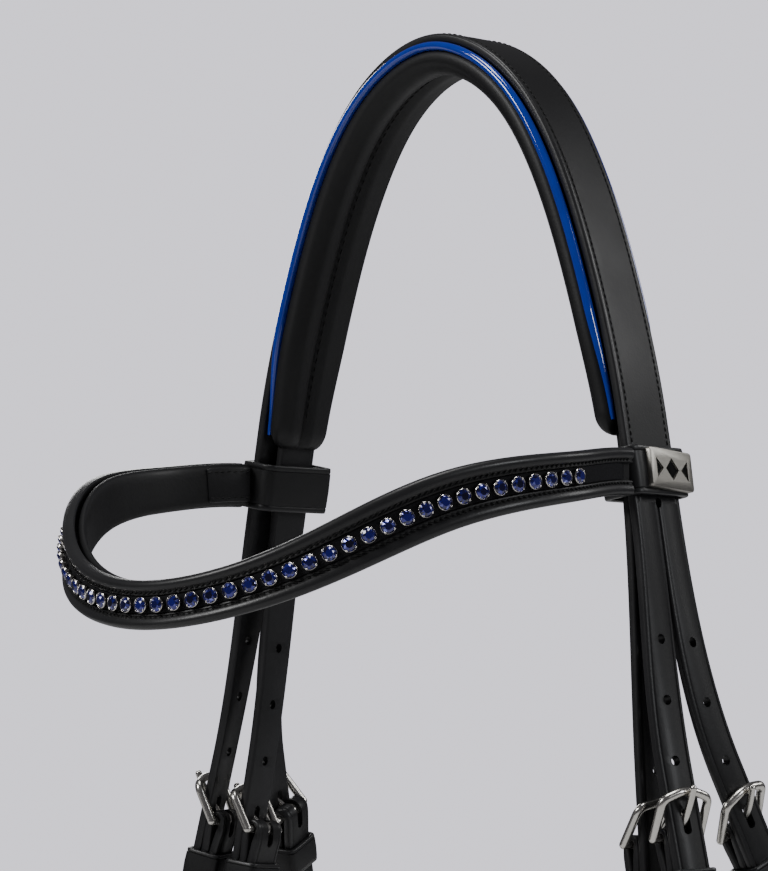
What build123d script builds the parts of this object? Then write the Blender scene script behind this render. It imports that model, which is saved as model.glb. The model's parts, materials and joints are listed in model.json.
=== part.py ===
from build123d import *
import math
import os

# Snaffle bridle: padded headpiece, shaped browband with a row of crystals, cheekpieces,
# throatlash and cavesson noseband, each strap buckled to its billet. No bit, no reins.
#
# Frame: +Z up, -Y the horse's front, +X the horse's left. The origin is the poll seat, the underside
# of the headpiece padding at the top of the arch. All sizes are in millimetres.
# A buckle has its own frame: X across the strap, Y outward from the horse, Z up the billet.

# ---------------------------------------------------------------- driving dimensions
STRAP_W = 12.5  # cheek and throatlash billets, cheekpieces and throatlash
NOSE_STRAP_W = 14.0  # noseband billets and straps
STRAP_T = 3.0
SLIT = 0.4  # cut between the cheek and throatlash billets
SLIT_HOLE_R = 1.6
LAYER_GAP = 0.1  # between two leathers that are sewn together
HOLE_R = 1.6
HOLE_PITCH = 19.0
HOLES_ABOVE = 3  # spare holes above each buckle
HOLES_BELOW = 2

LOOP_X, LOOP_Z = 78.0, -131.5  # where the browband crosses the headpiece
LEG_LEAN = 10.0  # degrees that the headpiece leans out there
LEG_TWIST = 4.0  # degrees that its outer face turns to the back
TWIST_START, TWIST_END = 5.0, 75.0  # arc lengths over which it turns

PAD_T = 9.0
PAD_GAP = 0.6  # seam allowance between the headpiece and its padding
PAD_FRONT, PAD_REAR = 16.2, 13.6  # how far the padding reaches from the strap's middle line
PIPING_R = 1.5

BAND_W = 14.8  # browband, over its rolled edges
BAND_SWELL = 3.0  # extra width half way along each side
BAND_BASE_T = 2.0
BAND_RIDGE_H, BAND_RIDGE_W = 1.9, 3.2  # rolled edges that stand beside the crystals
BAND_LINING_T = 3.2
BAND_STRIP_W, BAND_STRIP_T = 7.2, 0.6
BAND_STRIP_GAP, BAND_LINING_GAP = 0.4, 0.8  # room for glue and felt between its layers
LOOP_T = 2.0
LOOP_H = 15.4
LOOP_PLAY_OUT = 1.4  # room for the straps to move outward in a browband loop
LOOP_PLAY_IN = 1.6
BAND_END_GAP = 1.1
BAND_END_DROP = 1.2  # its ends meet the loops a little below their middle
CRYSTAL_PITCH = 6.3
CRYSTAL_R = 2.15
SETTING_WALL = 0.45
SETTING_H = 1.8
CRYSTAL_COUNT = 49
BADGE_W, BADGE_H, BADGE_T = 23.0, 12.6, 2.0
BADGE_REAR = 2.4  # from the loop's middle to the badge's
BAND_POINTS = [(0, -146, -173), (47.3, -130.7, -162.5), (77.5, -93.9, -142.0), (88.7, -44.9, -133.7)]
LOOP_SIDE_PLAY = 0.5
SETTING_FLOOR = 0.4
CRYSTAL_GIRDLE, CRYSTAL_CROWN = 0.9, 0.8
RIVET_R = 0.9

WIRE_R = 1.4  # buckle frame
TONGUE_R = 1.1
TONGUE_REST, TONGUE_TIP = 0.15, 2.2
EYE_W, EYE_WALL = 2.6, 1.2
WORN_HOLE_L = 8.0
BAR_PLAY = 0.05
FRAME_ARM = 13.0
FRAME_BULGE = 3.4
FRAME_SIDE_PLAY = 1.1  # from the strap's edge to the frame's arm
FRAME_TILT = 37.0  # degrees that a frame leans out from its billet
FOLD_T = 1.75  # leather skived thin round the bar
TONGUE_SLOT_W = 3.0
KEEPER_T = 1.5
KEEPER_PLAY = 0.15
FIXED_KEEPER_H = 10.0
FIXED_KEEPER_TOP = -11.0
RUNNER_H = 9.0
RUNNER_TOP = -35.0
TURN_BACK_END = -52.0
TIP_Z = -62.0  # the point of a billet
TIP_LENGTH = 7.0
CHAPE_END = -66.0  # where a buckled strap stops being straight
JOIN_Z = 20.0  # where a billet starts to run straight, above the bar
SWING_Z, SWING_GAP = 16.0, 1.2  # bend where a cheekpiece swings below the headpiece

BIT_BORE_R = 6.5
BIT_LOOP_Z = -490.0
BIT_TURN_UP, BIT_LEAD = 52.0, 4.0
STUD_Z = 38.0
STUD_R = 1.4
STUD_HEAD_R, STUD_HEAD_T = 2.8, 1.2
STUD_NECK = 0.7
BIT_KEEPER_Z = 23.0
CHEEK_X = 116.0
CHEEK_Y = -13.0

NOSE_Z = -430.0
NOSE_X = 91.0  # middle of the nose band's leather at the sides
NOSE_FRONT, NOSE_REAR = -126.0, 32.0
NOSE_W_FRONT, NOSE_W_REAR = 30.0, 18.0
NOSE_T = 2.6
NOSE_PAD_T = 6.0
NOSE_PAD_REAR = 6.0
NOSE_SEAM = 34.0  # length of the cheek strap that is sewn to the nose band
CHIN_SEAM = 16.0  # length of a chin strap that is sewn to the nose band
CHIN_Y = 76.0
SEAM_PLAY, NOSE_SEAM_Y = 1.0, -6.0
CHIN_BAR_X = -6.0
THROAT_BOTTOM = (0, 96.0, -402.0)

# where each billet's middle passes its buckle's bar, which way it runs there, and how many degrees
# its outer face turns to the back
CHEEK_BILLET, CHEEK_DOWN, CHEEK_TURN = (99.3, -10.8, -242.4), (0.25, -0.04, -1.0), -16.0
THROAT_BILLET, THROAT_DOWN, THROAT_TURN = (99.3, 22.3, -241.4), (0.20, 0.40, -1.0), -8.0
NOSE_BILLET, NOSE_DOWN, NOSE_TURN = (85.2, -6.5, -246.0), (0.13, -0.09, -1.0), -10.0

# ---------------------------------------------------------------- sizes that follow
HEAD_W = 2 * STRAP_W + SLIT
HALF_T = STRAP_T / 2
ARCH_TOP_Z = HALF_T + PAD_GAP + PAD_T  # middle of the headpiece leather over the poll
BAR_BORE = WIRE_R + BAR_PLAY
CHAPE_OUT = BAR_BORE + FOLD_T  # outer face of a buckled strap, from the bar's middle
CHAPE_MID = CHAPE_OUT - HALF_T
BILLET_IN = CHAPE_OUT + LAYER_GAP
BILLET_MID = BILLET_IN + HALF_T
BILLET_OUT = BILLET_IN + STRAP_T
TURN_IN = CHAPE_OUT - 2 * STRAP_T  # inner face of the turned-back end, below the fold
TONGUE_HOLE_Z = 0.75 * BILLET_MID  # where a tongue passes its billet
NOSE_BILLET_LIFT = -(STRAP_T + 1.6)  # the noseband billet lies inside the headpiece
MIRROR = Plane.YZ
FOOT = (Align.CENTER, Align.CENTER, Align.MIN)  # a shape that stands on its own origin


def unit(vector):
    return Vector(*vector).normalized()


def station(origin, along, outward):
    """A plane across a strap: X across it, Y outward, Z along it."""
    along = unit(along)
    outward = Vector(*outward)
    outward = (outward - along * outward.dot(along)).normalized()
    return Plane(origin=Vector(*origin), x_dir=outward.cross(along), z_dir=along)


def between(a, b, share):
    return Vector(*a) * (1 - share) + Vector(*b) * share


def ease(share):
    share = min(1.0, max(0.0, share))
    return share * share * (3 - 2 * share)


def stations_on(route, outward, count, start=0.0, end=1.0):
    """Stations evenly spaced on a route; outward(share, tangent) gives each one's outer side."""
    made = []
    for i in range(count):
        share = start + (end - start) * i / (count - 1)
        tangent = route % share
        made.append(station(route @ share, tangent, outward(share, tangent)))
    return made


def ribbon(stations, width, thick, lift=0.0, shift=0.0, radius=0.0):
    """A leather strip through the stations. A size is a number, or a function of the share."""

    def size(value, share):
        return value(share) if callable(value) else value

    sections = []
    for i, plane in enumerate(stations):
        share = i / (len(stations) - 1)
        w, t = size(width, share), size(thick, share)
        outline = RectangleRounded(w, t, radius) if radius else Rectangle(w, t)
        sections.append(plane * Pos(size(shift, share), size(lift, share)) * outline)
    return loft(sections)


def both_sides(shape):
    return shape, mirror(shape, about=MIRROR)


def whole(half):
    """A piece that crosses the middle, from its left half."""
    return half + mirror(half, about=MIRROR)


def save(name, shape):
    export_step(shape, f"parts/{name}.step")


# ---------------------------------------------------------------- the headpiece's line
LEG_DOWN = Vector(math.sin(math.radians(LEG_LEAN)), 0, -math.cos(math.radians(LEG_LEAN)))


def leg_point(z):
    """A point of the headpiece's middle line, on its straight stretch at the browband."""
    return Vector(LOOP_X, 0, LOOP_Z) + LEG_DOWN * ((z - LOOP_Z) / LEG_DOWN.Z)


LEG_TOP_Z, SPLIT_Z = LOOP_Z + 17, LOOP_Z - 9.5
ARCH = Spline(
    (0, 0, ARCH_TOP_Z),
    (25, 0, ARCH_TOP_Z - 9.5),
    (48, 0, ARCH_TOP_Z - 39.5),
    (63.5, 0, ARCH_TOP_Z - 79.5),
    leg_point(LEG_TOP_Z),
    tangents=[(1, 0, 0), LEG_DOWN],
)
LEG = Line(leg_point(LEG_TOP_Z), leg_point(SPLIT_Z))


def turned(tangent, degrees):
    """The headpiece's outer side, turned towards the back by some degrees."""
    angle = math.radians(degrees)
    flat = Vector(-tangent.Z, 0, tangent.X)
    return flat * math.cos(angle) + Vector(0, 1, 0) * math.sin(angle)


def arch_outward(share, tangent):
    turn = ease((share * ARCH.length - TWIST_START) / (TWIST_END - TWIST_START))
    return turned(tangent, LEG_TWIST * turn)


def leg_outward(share, tangent):
    return turned(tangent, LEG_TWIST)


arch_stations = stations_on(ARCH, arch_outward, 23)
leg_stations = stations_on(LEG, leg_outward, 3)
LEG_OUT = leg_stations[-1].y_dir
LEG_REAR = leg_stations[-1].x_dir
head_stations = arch_stations[:-1] + leg_stations


# ---------------------------------------------------------------- buckles
def buckle_plane(billet_point, down, turn_back):
    """The frame of a left-hand buckle whose billet's middle passes the bar at billet_point."""
    angle = math.radians(turn_back)
    up = unit(down) * -1
    plane = station(billet_point, up, (math.cos(angle), math.sin(angle), 0))
    return Plane(origin=plane.origin - plane.y_dir * BILLET_MID, x_dir=plane.x_dir, z_dir=up)


def side_profile(outline, half_width):
    """A strip from its side view, given as (outward, up) points in the buckle's frame."""
    wire = Polyline(*[(0, y, z) for y, z in outline], close=True)
    return extrude(Face(Wire(wire.edges())), half_width, both=True)


def frame_outline(tilt, width):
    """The middle line of a frame's arms and outer bar."""
    angle = math.radians(tilt)
    plane = Plane(origin=(0, 0, 0), x_dir=(1, 0, 0), z_dir=(0, -math.cos(angle), math.sin(angle)))
    half = width / 2 + FRAME_SIDE_PLAY + WIRE_R
    corners = [(-half, 0), (-half, FRAME_ARM), (0, FRAME_ARM + FRAME_BULGE), (half, FRAME_ARM), (half, 0)]
    return plane * FilletPolyline(*corners, radius=[3.2, 12.0, 3.2])


def make_frame(tilt=FRAME_TILT, width=STRAP_W):
    """The wire frame: a straight bar in the fold, two arms and an arched outer bar."""
    path = frame_outline(tilt, width)
    frame = sweep(Plane(origin=path @ 0, z_dir=path % 0) * Circle(WIRE_R), path=path)
    frame += Rot(0, 90, 0) * Cylinder(WIRE_R, (path @ 1 - path @ 0).length)
    for end in (path @ 0, path @ 1):
        frame += Pos(*end) * Sphere(WIRE_R)
    return frame


def make_tongue(tilt=FRAME_TILT, width=STRAP_W):
    """An eye round the bar, a shank through the billet's hole, and a point resting on the frame."""
    angle = math.radians(tilt)
    outward = Vector(0, math.cos(angle), -math.sin(angle))
    rest = frame_outline(tilt, width) @ 0.5 + outward * (WIRE_R + TONGUE_R + TONGUE_REST)
    tip = rest + Vector(0, math.sin(angle), math.cos(angle)) * TONGUE_TIP
    hole = (0, BILLET_MID, TONGUE_HOLE_Z)
    path = Spline((0, 1.6, 1.2), hole, rest, tip, tangents=[(0, 1, 0.75), tip - rest])
    shank = sweep(Plane(origin=path @ 0, z_dir=path % 0) * Circle(TONGUE_R), path=path)
    shank += Pos(*(path @ 1)) * Sphere(TONGUE_R)
    bore = Rot(0, 90, 0) * Cylinder(BAR_BORE, 4 * TONGUE_R)
    eye = Rot(0, 90, 0) * Cylinder(BAR_BORE + EYE_WALL, EYE_W)
    return eye + shank - bore


def chape(width=STRAP_W):
    """The straight top of a buckled strap: folded round the bar, turned back and sewn."""
    outline = [
        (CHAPE_OUT, 0),
        (CHAPE_OUT, CHAPE_END),
        (CHAPE_OUT - STRAP_T, CHAPE_END),
        (CHAPE_OUT - STRAP_T, TURN_BACK_END),
        (TURN_IN, TURN_BACK_END + 2),
        (TURN_IN, -9.5),
        (-CHAPE_OUT, 0),
    ]
    fold = Rot(0, 90, 0) * Cylinder(CHAPE_OUT, width)
    bore = Rot(0, 90, 0) * Cylinder(BAR_BORE, 2 * width)
    slot = Pos(0, 0, 1) * Box(TONGUE_SLOT_W, 4 * CHAPE_OUT, 13)
    return side_profile(outline, width / 2) + fold - bore - slot


def ring(top, height, width=STRAP_W, inner=None):
    """A leather keeper round a billet and the strap under it."""
    inner = TURN_IN if inner is None else inner
    hole_w, hole_d = width + 2 * KEEPER_PLAY, BILLET_OUT - inner + 2 * KEEPER_PLAY
    section = RectangleRounded(hole_w + 2 * KEEPER_T, hole_d + 2 * KEEPER_T, KEEPER_T)
    section -= Rectangle(hole_w, hole_d)
    return Pos(0, (inner + BILLET_OUT) / 2, top - height) * extrude(section, height)


def hole_at(z):
    return Pos(0, BILLET_MID, z) * Rot(90, 0, 0) * Cylinder(HOLE_R, 3 * STRAP_T)


def billet_end(top, width=STRAP_W):
    """The straight end of a billet: the hole in use, drawn long by the tongue, and spare holes."""
    half = width / 2
    corners = [(-half, top), (half, top), (half, TIP_Z + TIP_LENGTH), (0, TIP_Z), (-half, TIP_Z + TIP_LENGTH)]
    flat = Plane(origin=(0, BILLET_IN, 0), x_dir=(1, 0, 0), z_dir=(0, -1, 0))
    strip = extrude(flat * Polygon(*corners, align=None), STRAP_T, dir=(0, 1, 0))
    for i in range(1, HOLES_BELOW + 1):
        strip -= hole_at(TONGUE_HOLE_Z - i * HOLE_PITCH)
    worn = extrude(SlotOverall(WORN_HOLE_L, TONGUE_SLOT_W), 2 * STRAP_T, both=True)
    return strip - Pos(0, BILLET_MID, TONGUE_HOLE_Z) * Rot(90, 0, 0) * Rot(0, 0, 90) * worn


def billet_top(plane, start, start_tangent, start_out, width=STRAP_W):
    """A billet from its start down to where it runs straight, with its spare holes."""
    join = plane.origin + plane.y_dir * BILLET_MID + plane.z_dir * JOIN_Z
    route = Spline(start, join, tangents=[start_tangent, plane.z_dir * -1])

    def outward(share, tangent):
        return between(start_out, plane.y_dir, ease(share))

    made = ribbon(stations_on(route, outward, 9), width, STRAP_T)
    for i in range(1, HOLES_ABOVE + 1):
        share = 1 - (i * HOLE_PITCH + TONGUE_HOLE_Z - JOIN_Z) / route.length
        point, tangent = route @ share, route % share
        at = station(point, tangent, outward(share, tangent))
        made -= at * Rot(90, 0, 0) * Cylinder(HOLE_R, 3 * STRAP_T)
    return made


def strap_below(plane, end, end_tangent, end_out, width=STRAP_W, count=11):
    """A buckled strap from the end of its straight top to another place."""
    start = plane.origin + plane.y_dir * CHAPE_MID + plane.z_dir * CHAPE_END
    route = Spline(start, end, tangents=[plane.z_dir * -1, end_tangent])

    def outward(share, tangent):
        return between(plane.y_dir, end_out, ease(share))

    return ribbon(stations_on(route, outward, count), width, STRAP_T)


def save_buckle(name, plane, tilt, width, sides=("left", "right")):
    """Frame, tongue, fixed keeper and runner of one kind of buckle."""
    pieces = {
        "buckle_frame": make_frame(tilt, width),
        "buckle_tongue": make_tongue(tilt, width),
        "keeper": ring(FIXED_KEEPER_TOP, FIXED_KEEPER_H, width),
        "runner": ring(RUNNER_TOP, RUNNER_H, width),
    }
    for piece, shape in pieces.items():
        for side, placed in zip(sides, both_sides(plane * shape)):
            save(f"{name}_{piece}{side and '_' + side}", placed)


# ---------------------------------------------------------------- headpiece
os.makedirs("parts", exist_ok=True)

leg_end = leg_stations[-1]
cheek_plane = buckle_plane(CHEEK_BILLET, CHEEK_DOWN, CHEEK_TURN)
throat_plane = buckle_plane(THROAT_BILLET, THROAT_DOWN, THROAT_TURN)
nose_plane = buckle_plane(NOSE_BILLET, NOSE_DOWN, NOSE_TURN)


def split_start(shift):
    return leg_end.origin + LEG_REAR * shift


half_split = (STRAP_W + SLIT) / 2
cheek_top = billet_top(cheek_plane, split_start(-half_split), LEG_DOWN, LEG_OUT)
swing_piece_h = JOIN_Z - SWING_Z - SWING_GAP / 2
swing_piece = Pos(0, BILLET_MID, JOIN_Z - swing_piece_h / 2) * Box(STRAP_W, STRAP_T, swing_piece_h)
throat_top = billet_top(throat_plane, split_start(half_split), LEG_DOWN, LEG_OUT)
half_headpiece = ribbon(head_stations, HEAD_W, STRAP_T)
half_headpiece += cheek_top + cheek_plane * swing_piece
half_headpiece += throat_top + throat_plane * billet_end(JOIN_Z)
half_headpiece -= Plane(origin=leg_end.origin, z_dir=LEG_OUT) * Cylinder(SLIT_HOLE_R, 3 * STRAP_T)
save("headpiece_strap", whole(half_headpiece))

PAD_MID = -HALF_T - PAD_GAP - PAD_T / 2
pad_w = PAD_FRONT + PAD_REAR - 2 * (PIPING_R + LAYER_GAP)
pad_shift = (PAD_REAR - PAD_FRONT) / 2
save(
    "headpiece_padding",
    whole(ribbon(arch_stations, pad_w, PAD_T, lift=PAD_MID, shift=pad_shift, radius=PAD_T * 0.4)),
)
piping_lift = -HALF_T - PIPING_R - PAD_GAP
piping_d = 2 * PIPING_R
for name, shift in (("front", -PAD_FRONT), ("rear", PAD_REAR)):
    piping = ribbon(arch_stations, piping_d, piping_d, lift=piping_lift, shift=shift, radius=0.99 * PIPING_R)
    save(f"headpiece_piping_{name}", whole(piping))

nose_start = leg_stations[0]
nose_start_point = nose_start.origin + nose_start.y_dir * NOSE_BILLET_LIFT + LEG_DOWN * 0.3
nose_billet = billet_top(nose_plane, nose_start_point, LEG_DOWN, LEG_OUT, NOSE_STRAP_W)
nose_billet += nose_plane * billet_end(JOIN_Z, NOSE_STRAP_W)
for side, shape in zip(("left", "right"), both_sides(nose_billet)):
    save(f"noseband_billet_{side}", shape)
for side, shape in zip(("left", "right"), both_sides(cheek_plane * billet_end(SWING_Z - SWING_GAP / 2))):
    save(f"cheek_billet_end_{side}", shape)

# ---------------------------------------------------------------- browband
loop_plane = Plane(origin=leg_point(LOOP_Z), x_dir=LEG_REAR, z_dir=LEG_DOWN)
LOOP_OUT = HALF_T + LOOP_PLAY_OUT
LOOP_IN = NOSE_BILLET_LIFT - HALF_T - LOOP_PLAY_IN
loop_hole_w = HEAD_W + 2 * LOOP_SIDE_PLAY
loop_section = RectangleRounded(loop_hole_w + 2 * LOOP_T, LOOP_OUT - LOOP_IN + 2 * LOOP_T, LOOP_T)
loop_section -= Rectangle(loop_hole_w, LOOP_OUT - LOOP_IN)
loop_ring = extrude(loop_section, LOOP_H / 2, both=True)
browband_loop = loop_plane * Pos(0, (LOOP_OUT + LOOP_IN) / 2, 0) * loop_ring
for side, shape in zip(("left", "right"), both_sides(browband_loop)):
    save(f"browband_loop_{side}", shape)

band_end_shift = -(loop_hole_w / 2 + LOOP_T + BAND_END_GAP)
band_end = loop_plane.origin + LEG_REAR * band_end_shift + LEG_OUT * (LOOP_OUT + LOOP_T)
band_end += LEG_DOWN * BAND_END_DROP
BAND = Spline(*BAND_POINTS, band_end, tangents=[(1, 0, 0), LEG_REAR])


def band_outward(share, tangent):
    return Vector(tangent.Y, -tangent.X, 0)


def band_width(share):
    return BAND_W + BAND_SWELL * math.sin(math.pi * share) ** 3


def band_section(width):
    """The outer leather: a base with a rolled ridge along each edge."""
    inner, bottom = width / 2 - BAND_RIDGE_W, -BAND_RIDGE_H - BAND_BASE_T
    corners = [
        (-width / 2, bottom),
        (width / 2, bottom),
        (width / 2, -BAND_RIDGE_H / 3),
        (width / 2 - BAND_RIDGE_W / 3, 0),
        (inner, -BAND_RIDGE_H / 3),
        (inner, -BAND_RIDGE_H),
        (-inner, -BAND_RIDGE_H),
        (-inner, -BAND_RIDGE_H / 3),
        (BAND_RIDGE_W / 3 - width / 2, 0),
        (-width / 2, -BAND_RIDGE_H / 3),
    ]
    return Polygon(*corners, align=None)


band_stations = stations_on(BAND, band_outward, 15)
band_sections = [p * band_section(band_width(i / 14)) for i, p in enumerate(band_stations)]
save("browband_leather", whole(loft(band_sections)))
lining_lift = -BAND_RIDGE_H - BAND_BASE_T - BAND_LINING_GAP - BAND_LINING_T / 2
band_lining = ribbon(
    band_stations, lambda share: band_width(share) - 1, BAND_LINING_T, lift=lining_lift, radius=1.2
)
save("browband_lining", whole(band_lining))
strip_lift = -BAND_RIDGE_H + BAND_STRIP_GAP + BAND_STRIP_T / 2
save("crystal_channel", whole(ribbon(band_stations[:-1], BAND_STRIP_W, BAND_STRIP_T, lift=strip_lift)))

setting = Cylinder(CRYSTAL_R + SETTING_WALL, SETTING_H, align=FOOT)
seat = Pos(0, 0, SETTING_FLOOR) * Cylinder(CRYSTAL_R + 0.02, SETTING_H, align=FOOT)
crystal = Pos(0, 0, SETTING_FLOOR + 0.02) * Cylinder(CRYSTAL_R, CRYSTAL_GIRDLE, align=FOOT)
crown_cut = Cone(CRYSTAL_R, CRYSTAL_R * 0.55, CRYSTAL_CROWN, align=FOOT)
crystal += Pos(0, 0, SETTING_FLOOR + 0.02 + CRYSTAL_GIRDLE) * crown_cut
settings, crystals = [], []
for i in range(-(CRYSTAL_COUNT // 2), CRYSTAL_COUNT // 2 + 1):
    share = abs(i) * CRYSTAL_PITCH / BAND.length
    point, tangent = BAND @ share, BAND % share
    out = band_outward(share, tangent).normalized()
    if i < 0:
        point, out = Vector(-point.X, point.Y, point.Z), Vector(-out.X, out.Y, out.Z)
    foot = point - out * (BAND_RIDGE_H - BAND_STRIP_GAP - LAYER_GAP - BAND_STRIP_T)
    at = Plane(origin=foot, z_dir=out)
    settings.append(at * (setting - seat))
    crystals.append(at * crystal)
save("crystal_settings", Compound(children=settings))
save("crystals", Compound(children=crystals))

badge_origin = loop_plane.origin + LEG_OUT * (LOOP_OUT + LOOP_T) + LEG_REAR * BADGE_REAR
badge_plane = Plane(origin=badge_origin, x_dir=LEG_REAR, z_dir=LEG_OUT)
badge = extrude(RectangleRounded(BADGE_W, BADGE_H, 1.5), BADGE_T)
badge = chamfer(badge.faces().sort_by(Axis.Z)[-1].edges(), 0.5)
rivet_places = [(side * (BADGE_W / 2 - 2.6), 0) for side in (-1, 1)]
rivets = []
for x, y in rivet_places:
    badge -= Pos(x, y, 0) * Cylinder(RIVET_R, 3 * BADGE_T)
    shank = Pos(x, y, 0) * Cylinder(RIVET_R, BADGE_T, align=FOOT)
    rivet_head = Pos(x, y, BADGE_T) * Cylinder(1.6 * RIVET_R, 0.5, align=FOOT)
    rivets.append(badge_plane * (shank + rivet_head))
save("badge_plate", badge_plane * badge)
save("badge_rivets", Compound(children=rivets))

# ---------------------------------------------------------------- cheekpieces
save_buckle("cheek", cheek_plane, FRAME_TILT, STRAP_W)

bit_plane = Plane(origin=(CHEEK_X, CHEEK_Y, BIT_LOOP_Z), x_dir=(0, -1, 0), z_dir=(0, 0, 1))
BIT_OUT = BIT_BORE_R + STRAP_T
bit_fold_outline = [
    (BIT_OUT * 0.97, BIT_OUT * 0.25),
    (STRAP_T, 2.2 * BIT_OUT),
    (STRAP_T, BIT_TURN_UP + BIT_LEAD),
    (0, BIT_TURN_UP + BIT_LEAD),
    (0, BIT_TURN_UP),
    (-STRAP_T, BIT_TURN_UP - 4),
    (-STRAP_T, 2.2 * BIT_OUT),
    (-BIT_OUT * 0.97, BIT_OUT * 0.25),
]
bit_fold = side_profile(bit_fold_outline, STRAP_W / 2) + Rot(0, 90, 0) * Cylinder(BIT_OUT, STRAP_W)
bit_fold -= Rot(0, 90, 0) * Cylinder(BIT_BORE_R, 2 * STRAP_W)
bit_fold -= Pos(0, 0, STUD_Z) * Rot(90, 0, 0) * Cylinder(STUD_R, 6 * STRAP_T)
cheek_end = bit_plane.origin + Vector(HALF_T, 0, BIT_TURN_UP + BIT_LEAD)
cheekpiece = cheek_plane * chape() + bit_plane * bit_fold
cheekpiece += strap_below(cheek_plane, cheek_end, (0, 0, -1), (1, 0, 0))
stud = Pos(0, 0, STUD_Z) * Rot(90, 0, 0) * Cylinder(STUD_R, 2 * STRAP_T + 2 * STUD_NECK)
for y in (STRAP_T + STUD_NECK, -STRAP_T - STUD_NECK):
    stud += Pos(0, y, STUD_Z) * Rot(90, 0, 0) * Cylinder(STUD_HEAD_R, STUD_HEAD_T)
hole_w = STRAP_W + 2 * KEEPER_PLAY
hole_d = 2 * (STRAP_T + KEEPER_PLAY)
keeper_section = RectangleRounded(hole_w + 2 * KEEPER_T, hole_d + 2 * KEEPER_T, KEEPER_T)
keeper_section -= Rectangle(hole_w, hole_d)
bit_keeper = Pos(0, 0, BIT_KEEPER_Z) * extrude(keeper_section, RUNNER_H)
for side, index in (("left", 0), ("right", 1)):
    save(f"cheekpiece_{side}", both_sides(cheekpiece)[index])
    save(f"hook_stud_{side}", both_sides(bit_plane * stud)[index])
    save(f"bit_keeper_{side}", both_sides(bit_plane * bit_keeper)[index])

# ---------------------------------------------------------------- throatlash
save_buckle("throatlash", throat_plane, FRAME_TILT, STRAP_W)
half_throat = throat_plane * chape()
half_throat += strap_below(throat_plane, THROAT_BOTTOM, (-1, 0, 0), (0, 0.5, -1), count=15)
save("throatlash_strap", whole(half_throat))

# ---------------------------------------------------------------- noseband
save_buckle("noseband", nose_plane, FRAME_TILT, NOSE_STRAP_W)
NOSE = Spline(
    (0, NOSE_FRONT, NOSE_Z),
    (0.62 * NOSE_X, 0.8 * NOSE_FRONT, NOSE_Z),
    (NOSE_X, -8, NOSE_Z),
    (0.97 * NOSE_X, NOSE_REAR, NOSE_Z),
    tangents=[(1, 0, 0), (-0.25, 1, 0)],
)


def nose_width(share):
    return NOSE_W_FRONT + (NOSE_W_REAR - NOSE_W_FRONT) * ease(share * 1.25)


nose_stations = stations_on(NOSE, band_outward, 15)
save("nose_band", whole(ribbon(nose_stations, nose_width, NOSE_T)))
pad_end = 1 - (NOSE_REAR - NOSE_PAD_REAR) / NOSE.length
nose_pad = ribbon(
    stations_on(NOSE, band_outward, 13, 0, pad_end),
    lambda share: nose_width(share * pad_end) + 2,
    NOSE_PAD_T,
    lift=-(NOSE_T + NOSE_PAD_T) / 2 - PAD_GAP,
    radius=2.4,
)
save("nose_band_padding", whole(nose_pad))

seam_out = NOSE_T / 2 + LAYER_GAP + HALF_T
seam_top = Vector(NOSE_X + seam_out + SEAM_PLAY, NOSE_SEAM_Y, NOSE_Z + NOSE_SEAM / 2)
seam = Pos(seam_top.X, seam_top.Y, NOSE_Z) * Box(STRAP_T, NOSE_STRAP_W, NOSE_SEAM)
nose_cheek = nose_plane * chape(NOSE_STRAP_W) + seam
nose_cheek += strap_below(nose_plane, seam_top, (0, 0, -1), (1, 0, 0), NOSE_STRAP_W)
for side, shape in zip(("left", "right"), both_sides(nose_cheek)):
    save(f"noseband_cheek_strap_{side}", shape)

# the chin strap closes the noseband behind the jaw: buckle on the left part, billet on the right
chin_plane = Plane(origin=(CHIN_BAR_X, CHIN_Y, NOSE_Z), x_dir=(0, 0, 1), z_dir=(-1, 0, 0))
chin_share = 1 - CHIN_SEAM / NOSE.length
chin_seam = ribbon(stations_on(NOSE, band_outward, 4, chin_share, 1), NOSE_STRAP_W, STRAP_T, lift=seam_out)
last = nose_stations[-1]
chin_start = last.origin + last.y_dir * seam_out
chin_left = chin_plane * chape(NOSE_STRAP_W) + chin_seam
chin_left += strap_below(chin_plane, chin_start, last.z_dir * -1, last.y_dir, NOSE_STRAP_W)
save("chin_strap_left", chin_left)

away = Vector(-chin_start.X, chin_start.Y, chin_start.Z)
away_tangent = Vector(-last.z_dir.X, last.z_dir.Y, 0)
away_out = Vector(-last.y_dir.X, last.y_dir.Y, 0)
chin_right = chin_plane * billet_end(JOIN_Z, NOSE_STRAP_W) + mirror(chin_seam, about=MIRROR)
chin_right += billet_top(chin_plane, away, away_tangent, away_out, NOSE_STRAP_W)
save("chin_strap_right", chin_right)
save_buckle("chin", chin_plane, FRAME_TILT, NOSE_STRAP_W, sides=("",))
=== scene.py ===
import json
import math

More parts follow.
